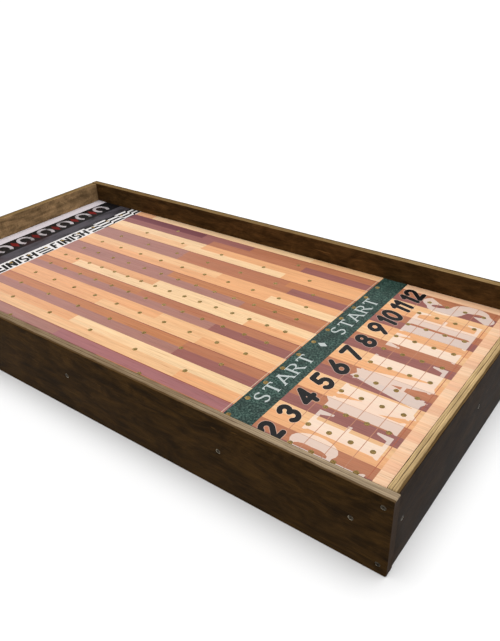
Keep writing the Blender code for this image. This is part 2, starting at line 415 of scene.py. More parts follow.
# each character: its width, then the middle lines of its strokes; the height is 1
STROKES = {
    "A": (0.80, path((0.04, 0), (0.40, 1)), path((0.40, 1), (0.76, 0)),
          path((0.18, 0.33), (0.62, 0.33))),
    "E": (0.66, STEM, TOP_ARM,
          path((0.12, 0.52), (0.48, 0.52)), path((0.12, 0.03), (0.62, 0.03))),
    "F": (0.62, STEM, TOP_ARM, path((0.12, 0.52), (0.46, 0.52))),
    "H": (0.80, STEM, FAR_STEM, path((0.12, 0.5), (0.68, 0.5))),
    "I": (0.26, path((0.13, 0), (0.13, 1))),
    "L": (0.62, STEM, path((0.12, 0.03), (0.58, 0.03))),
    "N": (0.80, STEM, path((0.12, 1), (0.68, 0)), FAR_STEM),
    "P": (0.72, STEM,
          joined(path((0.12, 0.97)), arc(0.36, 0.715, 0.24, 0.255, 90, -90), path((0.12, 0.46)))),
    "R": (0.76, STEM,
          joined(path((0.12, 0.97)), arc(0.38, 0.745, 0.24, 0.225, 90, -90), path((0.12, 0.52))),
          path((0.36, 0.52), (0.70, 0))),
    "S": (0.64, joined(arc(0.32, 0.74, 0.23, 0.23, 35, 258, 16),
                       arc(0.32, 0.26, 0.23, 0.23, 82, -145, 16))),
    "T": (0.70, path((0.35, 0), (0.35, 1)), path((0.04, 0.97), (0.66, 0.97))),
    " ": (0.42,),
    "0": (0.72, arc(0.36, 0.5, 0.25, 0.44, 90, 450, 30)),
    "1": (0.36, joined(path((0.06, 0.76)), path((0.22, 0.94), (0.22, 0.06)))),
    "2": (0.66, joined(arc(0.32, 0.70, 0.24, 0.24, 165, -38, 14), path((0.08, 0.06), (0.60, 0.06)))),
    "3": (0.66, joined(arc(0.31, 0.71, 0.22, 0.22, 150, -70, 14),
                       arc(0.31, 0.28, 0.24, 0.23, 80, -150, 14))),
    "4": (0.72, joined(path((0.50, 0.06)), path((0.50, 0.94), (0.07, 0.32), (0.66, 0.32)))),
    "5": (0.66, joined(path((0.56, 0.94)), path((0.17, 0.94), (0.13, 0.55)),
                       arc(0.32, 0.31, 0.25, 0.25, 122, -150, 16))),
    "6": (0.68, joined(path((0.46, 0.94)), arc(0.34, 0.30, 0.25, 0.25, 165, 525, 26))),
    "7": (0.62, joined(path((0.06, 0.94)), path((0.57, 0.94), (0.22, 0.06)))),
    "8": (0.68, arc(0.34, 0.71, 0.20, 0.21, 90, 450, 24), arc(0.34, 0.28, 0.24, 0.23, 90, 450, 24)),
    "9": (0.68, joined(arc(0.34, 0.69, 0.25, 0.25, -15, 345, 26), path((0.24, 0.06)))),
}


def ribbon(stroke, thick, thin, nib):
    """A pen stroke's outlines, one four-cornered area for each step: half the width each way along
    the normal.

    The width is thin + (thick - thin) |sin(direction - nib)|, as a broad pen draws it.
    """
    tangent = np.gradient(stroke, axis=0)
    direction = np.arctan2(tangent[:, 1], tangent[:, 0])
    normal = np.column_stack([-np.sin(direction), np.cos(direction)])
    width = thin + (thick - thin) * np.abs(np.sin(direction - nib))
    side = normal * width[:, None] / 2
    left, right = stroke + side, stroke - side
    quads = np.stack([left[:-1], right[:-1], right[1:], left[1:]], axis=1)
    offset = quads - quads.mean(axis=1, keepdims=True)
    turn = np.argsort(np.arctan2(offset[:, :, 1], offset[:, :, 0]), axis=1)
    return list(np.take_along_axis(quads, turn[:, :, None], axis=1))


def stroke_runs(stroke, bend=math.radians(50)):
    """Split a stroke where it turns sharply, so that each run's ribbon stays simple."""
    step = np.diff(stroke, axis=0)
    heading = np.arctan2(step[:, 1], step[:, 0])
    turn = np.abs((np.diff(heading) + math.pi) % math.tau - math.pi)
    corners = [0, *(np.nonzero(turn > bend)[0] + 1).tolist(), len(stroke) - 1]
    return [stroke[start:end + 1] for start, end in zip(corners, corners[1:]) if end > start]


def pen_outlines(character, pen):
    """The overlapping outlines of a character: ribbons, round ends or serifs."""
    width, *strokes = STROKES[character]
    nib = pen["nib"] + (0.5 if character == "S" and pen["serif"] > 0 else 0.0)
    outlines = []
    for stroke in strokes:
        for run in stroke_runs(stroke):
            outlines += ribbon(run, pen["thick"], pen["thin"], nib)
        if pen["round"]:
            ends = [stroke[0], stroke[-1]] + [run[0] for run in stroke_runs(stroke)]
            outlines += [circle(end, pen["thick"] / 2 * 0.995, 18) for end in ends]
    if pen["serif"] > 0:
        outlines += serifs(strokes, pen)
    inset = np.array([pen["margin"] / 2, 0.0])
    return width + pen["margin"], [outline + inset for outline in outlines]


def serifs(strokes, pen):
    """Slabs across the ends of upright strokes and short beaks on the ends of level ones."""
    slabs = []
    for stroke in strokes:
        for end, inner in ((stroke[0], stroke[1]), (stroke[-1], stroke[-2])):
            rise = abs(end[1] - inner[1])
            run = abs(end[0] - inner[0])
            if rise > run and (end[1] < 0.001 or end[1] > 0.999) and len(stroke) < 4:
                slabs.append(slab(end[0], end[1], pen))
            if run > rise and len(stroke) < 4 and (end[1] < 0.1 or end[1] > 0.9):
                slabs.append(beak(end, inner, pen))
    return slabs


def slab(x, y, pen):
    """A flat foot or head with sloped brackets."""
    half = (pen["thick"] + pen["serif"]) / 2
    waist = pen["thick"] / 2
    inward = 1 if y < 0.5 else -1
    foot = pen["slab"] * inward
    return np.array([(x - half, y), (x + half, y), (x + half, y + foot), (x + waist, y + 2.4 * foot),
                     (x - waist, y + 2.4 * foot), (x - half, y + foot)])


def beak(end, inner, pen):
    """A small upright wedge on the end of a level stroke."""
    outward = 1 if end[0] > inner[0] else -1
    inward = 1 if end[1] < 0.5 else -1
    base = end[1] - inward * pen["thin"] / 2
    tip = end[0] + outward * pen["thin"] * 0.4
    return np.array([(tip, base), (tip, base + inward * pen["beak"]),
                     (tip - outward * pen["thin"], base + inward * pen["beak"]),
                     (tip - outward * 3.2 * pen["thin"], base)])


# pens: stroke widths, margin and serifs as parts of the letters' height
ROUND_PEN = {"thick": 0.25, "thin": 0.25, "nib": 0.0, "round": True, "serif": 0.0, "margin": 0.04}
HALO_PEN = {**ROUND_PEN, "thick": 0.30, "thin": 0.30}
BLOCK_PEN = {"thick": 0.27, "thin": 0.19, "nib": 0.0, "round": False, "serif": 0.0, "margin": 0.12}
ROMAN_PEN = {"thick": 0.13, "thin": 0.045, "nib": 0.25, "round": False, "serif": 0.15,
             "slab": 0.028, "beak": 0.20, "margin": 0.16}
POSTER_PEN = {"thick": 0.35, "thin": 0.055, "nib": 0.0, "round": False, "serif": 0.10,
              "slab": 0.030, "beak": 0.21, "margin": 0.19}


def lettering(text, pen, foot_x, head_x, start_y, end_y, lean=0.0):
    """Outlines of a text whose foot looks to the scratch end and which reads towards lane 12.

    A glyph point (u, v) goes to x = foot + v (head - foot), y = start + u k + lean v height, where
    k makes the whole text reach from start to end.
    """
    height = foot_x - head_x
    glyphs = [pen_outlines(character, pen) for character in text]
    across = (end_y - start_y) / sum(width for width, _ in glyphs)
    outlines = []
    left = start_y
    for width, parts in glyphs:
        for part in parts:
            x = foot_x - part[:, 1] * height
            y = left + part[:, 0] * across + lean * part[:, 1] * height
            outlines.append(np.column_stack([x, y]))
        left += width * across
    return outlines


# ---- printed face --------------------------------------------------------------------------
SHADES = {
    "plum": (156, 106, 100),
    "mauve": (176, 130, 118),
    "russet": (186, 126, 98),
    "amber": (198, 135, 97),
    "peach": (238, 178, 130),
    "honey": (243, 194, 146),
    "cream": (249, 211, 165),
    "wine": (124, 78, 80),
    # blush, rose and sand: pink print, made lighter as painted light against the shade of the boards round
    # the scratch end
    "blush": (248, 201, 162),
    "rose": (244, 194, 158),
    "sand": (252, 211, 174),
    "lilac": (170, 118, 118),
    "seam": (150, 92, 80),
}
SHADES = {name: printed(*tone) for name, tone in SHADES.items()}
BLACK_INK = printed(34, 31, 34)
SEAM_WIDTH = 0.0020
RULE_WIDTH = 0.0012
POSTER_VEIL = 0.62
HALO_VEIL = 0.30
SHELF_WIDTH = 0.038
HORSESHOE_SIZE, HORSESHOE_PITCH = 0.046, 0.064
STRIPE_WIDTH = 0.008
# where the words begin and end across the lanes
FINISH_SPAN = (-0.155, 0.125)
START_SPAN = (-0.205, 0.207)
POSTER_SPAN = (-0.286, 0.284)
# each lane has two rows of planks: the one towards lane 12, then the other. A row is a list of
# shades from the start line, each but the last with the distance at which it ends
LANE_PLANKS = {
    12: ([("russet", 0.330), ("plum", 0.480), ("wine",)],
         [("plum", 0.170), ("russet", 0.440), ("plum",)]),
    11: ([("peach", 0.441), ("cream",)], [("peach", 0.190), ("cream", 0.480), ("honey",)]),
    10: ([("amber", 0.160), ("russet", 0.453), ("mauve",)],
         [("plum", 0.139), ("russet", 0.450), ("mauve",)]),
    9: ([("peach", 0.310), ("honey",)], [("cream", 0.159), ("peach",)]),
    8: ([("amber", 0.410), ("mauve",)], [("russet", 0.188), ("mauve",)]),
    7: ([("cream", 0.406), ("peach",)], [("peach", 0.138), ("cream", 0.643), ("peach",)]),
    6: ([("russet", 0.406), ("amber",)], [("plum", 0.184), ("mauve",)]),
    5: ([("honey", 0.300), ("peach",)], [("peach", 0.174), ("honey", 0.450), ("peach",)]),
    4: ([("russet", 0.186), ("amber",)], [("plum", 0.186), ("mauve",)]),
    3: ([("cream", 0.440), ("peach",)], [("peach", 0.136), ("honey",)]),
    2: ([("lilac", 0.426), ("mauve",)], [("russet", 0.300), ("plum",)]),
}
EDGE_PLANKS = [("honey", 0.175), ("cream", 0.679), ("peach",)]
HOME_SHADES = (("russet", "plum"), ("honey", "peach"))
LANES, BAND, INK, BANNER, CORE = range(5)


def rectangle(x0, x1, y0, y1):
    """A rectangle's corners, anticlockwise."""
    return np.array([(x0, y0), (x1, y0), (x1, y1), (x0, y1)])


def anticlockwise(outline):
    """The outline in anticlockwise order, by the sign of its shoelace area."""
    x, y = outline[:, 0], outline[:, 1]
    area = np.sum(x * np.roll(y, -1) - np.roll(x, -1) * y)
    return outline if area > 0 else outline[::-1]


class Print:
    """The areas of the printed face, in painting order: later ones cover earlier ones."""

    def __init__(self):
        self.outlines = []
        self.zones = []
        self.tints = []
        self.veils = []
        self.seeds = []

    def area(self, outline, zone, tint, veil=0.0):
        """One closed area: its material, its colour and how much of a white veil it lays over."""
        self.outlines.append(anticlockwise(np.asarray(outline, dtype=float)))
        self.zones.append(zone)
        self.tints.append(tint)
        self.veils.append(veil)
        self.seeds.append(len(self.seeds) * 0.618 % 1.0)

    def areas(self, outlines, zone, tint, veil=0.0):
        """Several areas of one look."""
        for outline in outlines:
            self.area(outline, zone, tint, veil)


def plank_row(sheet, planks, start, end, y0, y1):
    """Planks laid from the start line towards the finish."""
    x = start
    for shade, *reach in planks:
        left = start - reach[0] if reach else end
        sheet.area(rectangle(left, x, y0, y1), LANES, SHADES[shade])
        x = left


# Partly painted light: the strip by the scratch end is printed in these lighter shades to cancel the shade
# of the scratch end board on it.
STRIP_SHADES = ("blush", "rose", "sand")


def lay_planks(sheet, layout):
    """The lanes' planks on the track, under the numbers and at the scratch end."""
    scratch_end, finish_end = SHEET_HIGH[0], SHEET_LOW[0]
    start = scratch_end - layout.gate_start
    track = (scratch_end - layout.gate_end, finish_end + layout.finish_end)
    home = scratch_end - layout.plain
    middle = LANE_ROWS.mean()
    side = middle + LANE_PITCH * len(LANE_ROWS) / 2
    for low, high in ((SHEET_LOW[1], 2 * middle - side), (side, SHEET_HIGH[1])):
        plank_row(sheet, EDGE_PLANKS, *track, low, high)
        # the strip's blush is lighter partly as painted light against the boards' shade
        sheet.area(rectangle(start, scratch_end, low, high), LANES, SHADES["blush"])
    for lane, rows in LANE_PLANKS.items():
        y = middle + (lane - MIDDLE_LANE) * LANE_PITCH
        upper, lower = HOME_SHADES[lane % 2]
        if lane == 9:
            upper, lower = lower, upper
        ends = (STRIP_SHADES[lane % 3], STRIP_SHADES[(lane + 1) % 3])
        for planks, shade, end, low in ((rows[0], upper, ends[0], y),
                                        (rows[1], lower, ends[1], y - LANE_PITCH / 2)):
            high = low + LANE_PITCH / 2
            plank_row(sheet, planks, *track, low, high)
            sheet.area(rectangle(start, home, low, high), LANES, SHADES[shade])
            sheet.area(rectangle(home, scratch_end, low, high), LANES, SHADES[end])
        if lane % 2 == 0:
            seam = y + LANE_PITCH / 2
            sheet.area(rectangle(track[1], track[0], seam - SEAM_WIDTH, seam), LANES, SHADES["seam"])


def rule_lines(sheet, layout):
    """Thin printed lines: a grid over the scratch rows, and a pale line beside the start band."""
    half = RULE_WIDTH / 2
    spacing = (SCRATCH_ROWS[-1] - SCRATCH_ROWS[0]) / 3
    columns = np.append(SCRATCH_ROWS - spacing / 2, SCRATCH_ROWS[-1] + spacing / 2)
    rows = np.append(LANE_ROWS - LANE_PITCH / 2, LANE_ROWS[-1] + LANE_PITCH / 2)
    brown = printed(192, 138, 112)
    pale = SHEET_HIGH[0] - layout.gate_end - 0.004
    lines = [((x - half, x + half, rows[0], rows[-1]), brown) for x in columns[:-1]]
    lines.append(((columns[-1] - RULE_WIDTH, columns[-1], rows[0], rows[-1]), printed(178, 104, 82)))
    lines += [((columns[0], columns[-1], y - half / 2, y + half / 2), brown) for y in rows]
    lines.append(((pale - half, pale + half, SHEET_LOW[1], SHEET_HIGH[1]), printed(226, 198, 172)))
    for sides, tint in lines:
        sheet.area(rectangle(*sides), LANES, tint)


def finish_stripes(start, end):
    """Black stripes along the finish band, in blocks that step to and fro beside the words."""
    stripes = []
    width = pitch = STRIPE_WIDTH
    slant = 0.005
    breaks = np.array([0.128, 0.166, 0.204, 0.242, 0.279, 0.3045])
    for side, line in np.ndindex(2, 3):
        for block, (low, high) in enumerate(zip(breaks, breaks[1:])):
            step = pitch if block % 2 else 0.0
            x = start + width / 2 + 2 * line * pitch + step
            drift = -pitch if block % 2 else pitch
            reach = high if block == len(breaks) - 2 else high + slant
            sides = [(x - width / 2, low + slant), (x + width / 2, low + slant), (x + width / 2, high),
                     (x + width / 2 + drift, reach), (x - width / 2 + drift, reach), (x - width / 2, high)]
            if block == len(breaks) - 2:
                sides = sides[:3] + [(x - width / 2, high)]
            stripes.append(np.array(sides) * (1, 1 - 2 * side))
    return [np.column_stack([stripe[:, 0].clip(start, end), stripe[:, 1]]) for stripe in stripes]


def horseshoe(x, y, size):
    """A horseshoe: a thick arc open towards the scratch end."""
    bow = arc(0.0, 0.0, 0.36, 0.46, -52, 232, 29)
    parts = ribbon(bow, 0.20, 0.20, 0.0)
    return [np.column_stack([x - part[:, 1] * size, y + part[:, 0] * size]) for part in parts]


def diamond(x, y, half_x, half_y):
    """The four corners of a diamond about a point."""
    return np.array([(x - half_x, y), (x, y - half_y), (x + half_x, y), (x, y + half_y)])


def banner_marks(sheet, x0, x1):
    """Plain horseshoes and diamonds along the banner."""
    middle = (x0 + x1) / 2
    for index in range(-4, 5):
        y = index * HORSESHOE_PITCH
        sheet.areas(horseshoe(middle, y, HORSESHOE_SIZE), BANNER, printed(196, 188, 190))
        if index < 4:
            gap = diamond(middle, y + HORSESHOE_PITCH / 2, 0.020, 0.009)
            sheet.area(gap, BANNER, printed(122, 34, 50))


def draw_print(layout):
    """Every area of the printed face, from the planks up to the inks."""
    sheet = Print()
    scratch_end, finish_end = SHEET_HIGH[0], SHEET_LOW[0]
    sides = (SHEET_LOW[1], SHEET_HIGH[1])
    sheet.area(rectangle(finish_end, scratch_end, *sides), LANES, SHADES["honey"])
    lay_planks(sheet, layout)
    gate = (scratch_end - layout.gate_end, scratch_end - layout.gate_start)
    sheet.area(rectangle(*gate, *sides), BAND, printed(48, 70, 66))
    banner = (finish_end + layout.banner_start, finish_end + layout.finish_start)
    sheet.area(rectangle(finish_end, banner[0], *sides), INK, printed(221, 213, 218))
    shelf = banner[1] - SHELF_WIDTH
    sheet.area(rectangle(banner[0], shelf, *sides), BANNER, printed(52, 47, 56))
    sheet.area(rectangle(shelf, banner[1], *sides), BANNER, printed(93, 90, 95))
    finish = (banner[1], finish_end + layout.finish_end)
    sheet.area(rectangle(*finish, *sides), INK, printed(244, 240, 238))
    banner_marks(sheet, banner[0], shelf)
    sheet.areas(finish_stripes(*finish), INK, BLACK_INK)
    foot, head = finish[1] - 0.005, finish[0] + 0.007
    word = lettering("FINISH   FINISH", BLOCK_PEN, foot, head, *FINISH_SPAN, lean=0.18)
    sheet.areas(word, INK, printed(26, 24, 26))
    for line in range(3):
        x = finish[0] + 0.010 + line * 0.0125
        sheet.area(rectangle(x, x + 0.007, -0.030, 0.004), INK, BLACK_INK)
    gate_foot, gate_head = scratch_end - layout.gate_foot, scratch_end - layout.gate_head
    silver = printed(196, 203, 200)
    start_word = lettering("START    START", ROMAN_PEN, gate_foot, gate_head, *START_SPAN)
    sheet.areas(start_word, INK, silver)
    sheet.area(diamond((gate_foot + gate_head) / 2, 0.001, 0.010, 0.007), INK, silver)
    poster = lettering("PENALTIES", POSTER_PEN, scratch_end - layout.scratch_foot,
                       scratch_end - layout.scratch_head, *POSTER_SPAN)
    sheet.areas(poster, LANES, None, POSTER_VEIL)
    rule_lines(sheet, layout)
    for lane, y in enumerate(LANE_ROWS, start=FIRST_LANE):
        draw_number(sheet, str(lane), y + 0.006, layout)
    return sheet


def draw_number(sheet, digits, y, layout):
    """A lane's number, in black with a pale halo."""
    foot = SHEET_HIGH[0] - layout.numbers_foot
    head = SHEET_HIGH[0] - layout.numbers_head
    height = foot - head
    width = sum(STROKES[digit][0] + ROUND_PEN["margin"] for digit in digits) * height
    left = y - width / 2 - 0.2 * height / 2
    for pen, zone, tint, veil in ((HALO_PEN, LANES, None, HALO_VEIL),
                                  (ROUND_PEN, INK, printed(36, 30, 34), 0.0)):
        glyphs = lettering(digits, pen, foot, head, left, left + width, lean=0.2)
        sheet.areas(glyphs, zone, tint, veil)


def paint_order(owners, wanted):
    """For each triangle the last of the wanted areas that holds it, or -1."""
    return np.array([max((owner for owner in held if owner in wanted), default=-1)
                     for held in owners])


def printed_face():
    """The printed board: a flat sheet, cut along every printed edge and drilled with round holes."""
    sheet = draw_print(bpy.context.scene.print_settings)
    holes = hole_outlines(0.00012, 5)
    points, triangles, owners = triangulate(sheet.outlines + holes)
    count = len(sheet.outlines)
    solid = [index for index in range(count) if sheet.tints[index] is not None]
    drilled = paint_order(owners, set(range(count, count + len(holes)))) >= 0
    top = paint_order(owners, set(solid))
    veil_owner = paint_order(owners, set(range(count)) - set(solid))
    keep = ~drilled & (top >= 0)
    triangles = np.array(triangles)[keep]
    top, veil_owner = top[keep], veil_owner[keep]
    veil = np.where(veil_owner > top, np.array(sheet.veils)[veil_owner], 0.0)
    points, faces = extrude(points, triangles, FACE_Z, SHEET_LOW[2])
    material = padded(np.array(sheet.zones)[top], len(faces), CORE)
    tints = padded(np.array([sheet.tints[index] for index in top]), len(faces), printed(150, 124, 84))
    looks = {"tint": np.column_stack([tints, np.ones(len(faces))]),
             "veil": padded(veil, len(faces), 0.0),
             "plank": padded(np.array(sheet.seeds)[top], len(faces), 0.0)}
    return points, faces, material, looks


def padded(values, count, filler):
    """The values of the top faces, and a filler for the others."""
    rest = np.broadcast_to(filler, (count - len(values), *values.shape[1:]))
    return np.concatenate([values, rest])


def extrude(points, triangles, top, bottom):
    """A closed slab: the triangles at the top, their mirror at the bottom, and walls between."""
    count = len(points)
    walls = [(a, a + count, b + count, b) for a, b in border_edges(triangles)]
    under = (triangles[:, ::-1] + count).tolist()
    both = np.concatenate([at_height(points, top), at_height(points, bottom)])
    return both, triangles.tolist() + under + walls


# ---- boards, panel and screws --------------------------------------------------------------
class Screw:
    """One screw's place, from its CAD node: its long axis, the side its head is on, its head's face."""

    def __init__(self, name):
        low, high = (np.array(corner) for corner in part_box(name))
        self.name = name
        self.axis = int(np.argmax(high - low))
        middle = (low + high) / 2
        self.side = 1.0 if middle[self.axis] > 0 else -1.0
        self.length = float((high - low)[self.axis])
        self.head = middle.copy()
        self.head[self.axis] = high[self.axis] if self.side > 0 else low[self.axis]

    def outward(self):
        """The direction from the tip to the head."""
        direction = np.zeros(3)
        direction[self.axis] = self.side
        return direction


SCREWS = [Screw(name) for name in NODES if "_screw_" in name]


class BoardFrame:
    """A standing board's own axes: along, up and out through its outer face."""

    def __init__(self, node):
        self.node = node
        self.low, self.high = (np.array(corner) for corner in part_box(node))
        self.axis = int(np.argmin(self.high - self.low))
        side = 1.0 if (self.low + self.high)[self.axis] > 0 else -1.0
        self.out = np.zeros(3)
        self.out[self.axis] = side
        self.up = np.array([0.0, 0.0, 1.0])
        self.along = np.cross(self.up, self.out)
        self.size = np.abs(self.high - self.low)
        self.length = float(self.size[1 - self.axis])
        self.height = float(self.size[2])
        self.thickness = float(self.size[self.axis])
        corner = self.high if side > 0 else self.low
        self.origin = np.zeros(3)
        self.origin[self.axis] = corner[self.axis]
        start = self.low if self.along[1 - self.axis] > 0 else self.high
        self.origin[1 - self.axis] = start[1 - self.axis]
        self.origin[2] = self.low[2]

    def place(self, flat, depth):
        """Points in space from (along, up) points at a depth below the outer face."""
        flat = np.asarray(flat)
        depth = np.broadcast_to(depth, len(flat))
        return (self.origin + flat[:, :1] * self.along + flat[:, 1:2] * self.up
                - depth[:, None] * self.out)

    def measure(self, points):
        """(along, depth, up) of points in space."""
        offset = points - self.origin
        return np.column_stack([offset @ self.along, -(offset @ self.out), offset @ self.up])

    def screw_places(self):
        """(along, up) of the screws that go in through the outer face."""
        heads = [screw.head for screw in SCREWS
                 if screw.axis == self.axis and screw.side == self.out[self.axis]]
        return self.measure(np.array(heads))[:, [0, 2]]


def rounded_outline(length_along, height, radii, spacing):
    """A rectangle with a radius at each corner, and its outward directions.

    Corners turn anticlockwise from the lower left; straight runs are cut to the spacing.
    """
    corners = np.array([(0, 0), (length_along, 0), (length_along, height), (0, height)], dtype=float)
    inward = np.array([(1, 1), (-1, 1), (-1, -1), (1, -1)])
    points, normals = [], []
    for index, radius in enumerate(radii):
        centre = corners[index] + inward[index] * radius
        angle = np.radians(np.linspace(180, 270, 6) + 90 * index)
        direction = np.column_stack([np.cos(angle), np.sin(angle)])
        points.append(centre + radius * direction)
        normals.append(direction)
        ahead = (index + 1) % 4
        target = corners[ahead] + radii[ahead] * (inward[ahead] + direction[-1])
        run = np.linalg.norm(target - points[-1][-1])
        parts = np.linspace(0, 1, max(int(run / spacing), 1) + 1)[1:-1, None]
        points.append(points[-1][-1] + parts * (target - points[-1][-1]))
        normals.append(np.repeat(direction[-1:], len(parts), axis=0))
    return np.concatenate(points), np.concatenate(normals)


def wander(values, seed, step):
    """Smooth noise between 0 and 1 along a run: random knots a step apart, joined by cosines."""
    random = np.random.default_rng(seed)
    place = values / step
    knots = random.random(int(place.max()) + 3)
    index = place.astype(int)
    blend = (1 - np.cos(np.pi * (place - index))) / 2
    return knots[index] * (1 - blend) + knots[index + 1] * blend


def edge_profile(thickness, arris, plies):
    """Depths from the outer face and how far the edge is cut back at each one.

    A quarter circle at each face, and a shallow groove at each glue line between them.
    """
    turn = np.radians(np.linspace(0, 90, 4))
    depth = arris * (1 - np.cos(turn))
    inset = arris * (1 - np.sin(turn))
    lines = thickness * np.arange(1, plies) / plies
    groove = np.array([-0.0004, 0.0, 0.0004])
    depths = [depth, *(line + groove for line in lines), (thickness - depth)[::-1]]
    insets = [inset, *(np.array([0.0, 0.00018, 0.0]) for _ in lines), inset[::-1]]
    return np.concatenate(depths), np.concatenate(insets)


# the boards' screw holes: clearance round the head, and the depths where its seat begins and ends
SEAT_CLEARANCE = 0.0005
SEAT_TOP, SEAT_FOOT = 0.0006, 0.0036
SHARP_CORNER = 0.0015
EDGE_SPACING = 0.006
EDGE_ROUGHNESS = 0.00022
EDGE_RIPPLE = 0.011


def standing_board(node, settings):
    """A plywood board: edge loops stacked through its thickness, faces cut round its screw holes."""
    board = BoardFrame(node)
    foot, worn = (0.0040, SHARP_CORNER) if board.axis == 1 else (SHARP_CORNER, 0.0040)
    radii = (foot, foot, SHARP_CORNER, worn)
    outline, normals = rounded_outline(board.length, board.height, radii, EDGE_SPACING)
    depths, insets = edge_profile(board.thickness, settings.arris, settings.plies)
    run = np.cumsum(np.linalg.norm(outline - np.roll(outline, 1, axis=0), axis=1))
    ply = np.minimum((depths / board.thickness * settings.plies).astype(int), settings.plies - 1)
    rough = np.array([wander(run, 31 * NODES.index(node) + layer, EDGE_RIPPLE) for layer in ply])
    cut = insets[:, None] + EDGE_ROUGHNESS * rough ** 3
    flat = outline[None] - normals[None] * cut[:, :, None]
    parts = [board.place(loop, depth) for loop, depth in zip(flat, depths)]
    shells = [tube(parts)]
    places = board.screw_places()
    mouth = settings.head + SEAT_CLEARANCE
    steps = ((0.0, mouth), (SEAT_TOP, mouth), (SEAT_FOOT, settings.pilot),
             (board.thickness, settings.pilot))
    for depth, loop, radius, outer in ((0.0, flat[0], mouth, True),
                                       (board.thickness, flat[-1], settings.pilot, False)):
        holes = [circle(place, radius) for place in places]
        points, triangles = cut_out(anticlockwise(loop), holes)
        shells.append((board.place(points, depth), triangles if outer else triangles[:, ::-1]))
    for place in places:
        rings = [board.place(circle(place, radius), depth) for depth, radius in steps]
        shells.append(tube([ring[::-1] for ring in rings]))
    return board, shells


def tube(rings):
    """Quads between closed rings of equal length, facing out when the rings turn anticlockwise
    as seen from the first ring's side."""
    rings = np.array(rings)
    levels, count = rings.shape[:2]
    index = np.arange(levels * count).reshape(levels, count)
    following = np.roll(index, -1, axis=1)
    quads = np.stack([index[:-1], index[1:], following[1:], following[:-1]], axis=-1)
    return rings.reshape(-1, 3), quads.reshape(-1, 4)


def cap(ring):
    """The flat end of a tube: a fan from the middle of its last ring."""
    count = len(ring)
    points = np.concatenate([ring, ring.mean(axis=0)[None]])
    index = np.arange(count)
    fan = np.column_stack([index, np.roll(index, -1), np.full(count, count)])
    return points, fan[:, ::-1]


def weld(name, shells, materials, indices=None):
    """One closed mesh from shells that meet: joined, with the points that coincide merged."""
    offsets = np.cumsum([0] + [len(points) for points, _ in shells])
    points = np.concatenate([points for points, _ in shells])
    faces = [face for (_, part), offset in zip(shells, offsets)
             for face in (np.asarray(part) + offset).tolist()]
    slots = None
    if indices is not None:
        slots = np.repeat(indices, [len(part) for _, part in shells])
    piece = make_mesh(name, points, faces, materials, slots)
    work = bmesh.new()
    work.from_mesh(piece.data)
    bmesh.ops.remove_doubles(work, verts=work.verts, dist=2e-6)
    bmesh.ops.dissolve_degenerate(work, edges=work.edges, dist=1e-7)
    work.to_mesh(piece.data)
    work.free()
    return piece


def smooth(piece, angle):
    """Shade smooth where faces meet at less than an angle."""
    piece.data.shade_smooth()
    piece.data.set_sharp_from_angle(angle=math.radians(angle))


def mesh_points(piece):
    """All points of a piece, as an array."""
    points = np.empty(len(piece.data.vertices) * 3, dtype=np.float32)
    piece.data.vertices.foreach_get("co", points)
    return points.reshape(-1, 3).astype(float)


PEG_DEPTH = 0.015
DRILL_POINT = math.radians(31)


def drilled_panel():
    """The panel under the print: round blind holes with a drill point's cone at the bottom."""
    low, high = PANEL_LOW, PANEL_HIGH
    outline, _ = rounded_outline(high[0] - low[0], high[1] - low[1], (0.001,) * 4, 0.3)
    outline = outline + low[:2]
    holes = hole_outlines(0.0, 5, 24)
    points, triangles = cut_out(outline, holes)
    lower, base = cut_out(outline)
    shells = [(at_height(points, high[2]), triangles), (at_height(lower, low[2]), base[:, ::-1]),
              tube([at_height(outline, height) for height in (high[2], low[2])])]
    floor = FACE_Z - PEG_DEPTH
    shoulder = floor + HOLE_RADIUS * math.tan(DRILL_POINT)
    for centre, ring in zip(HOLES, holes):
        rings = [at_height(ring, height)[::-1] for height in (high[2], shoulder)]
        shells.append(tube(rings))
        tip = np.concatenate([rings[1], [(*centre, floor)]])
        index = np.arange(len(ring))
        fan = np.column_stack([np.roll(index, -1), index, np.full(len(ring), len(ring))])
        shells.append((tip, fan))
    return shells, [0, 0, 0] + [1] * (2 * len(HOLES))


def cross_outline(arm, width):
    """The twelve corners of a plus sign, anticlockwise."""
    corner = [(arm, -width), (arm, width), (width, width)]
    turn = np.arange(4) * math.pi / 2
    points = []
    for angle in turn:
        cosine, sine = math.cos(angle), math.sin(angle)
        points += [(x * cosine - y * sine, x * sine + y * cosine) for x, y in corner]
    return np.array(points)


# the screw's own measures: its recess at the mouth and the floor, as (arm, half width), its
# head's broken edge and its thread
RECESS_MOUTH, RECESS_FLOOR = (0.0021, 0.00052), (0.0013, 0.00040)
RECESS_DEPTH = 0.0019
HEAD_EDGE = 0.00015
HEAD_DEPTHS = (0.0, 0.00012, 0.00035, 0.0029)
THREAD_CORE, THREAD_RIDGE, THREAD_PITCH = 0.00135, 0.00055, 0.0018
THREAD_START = 0.0060


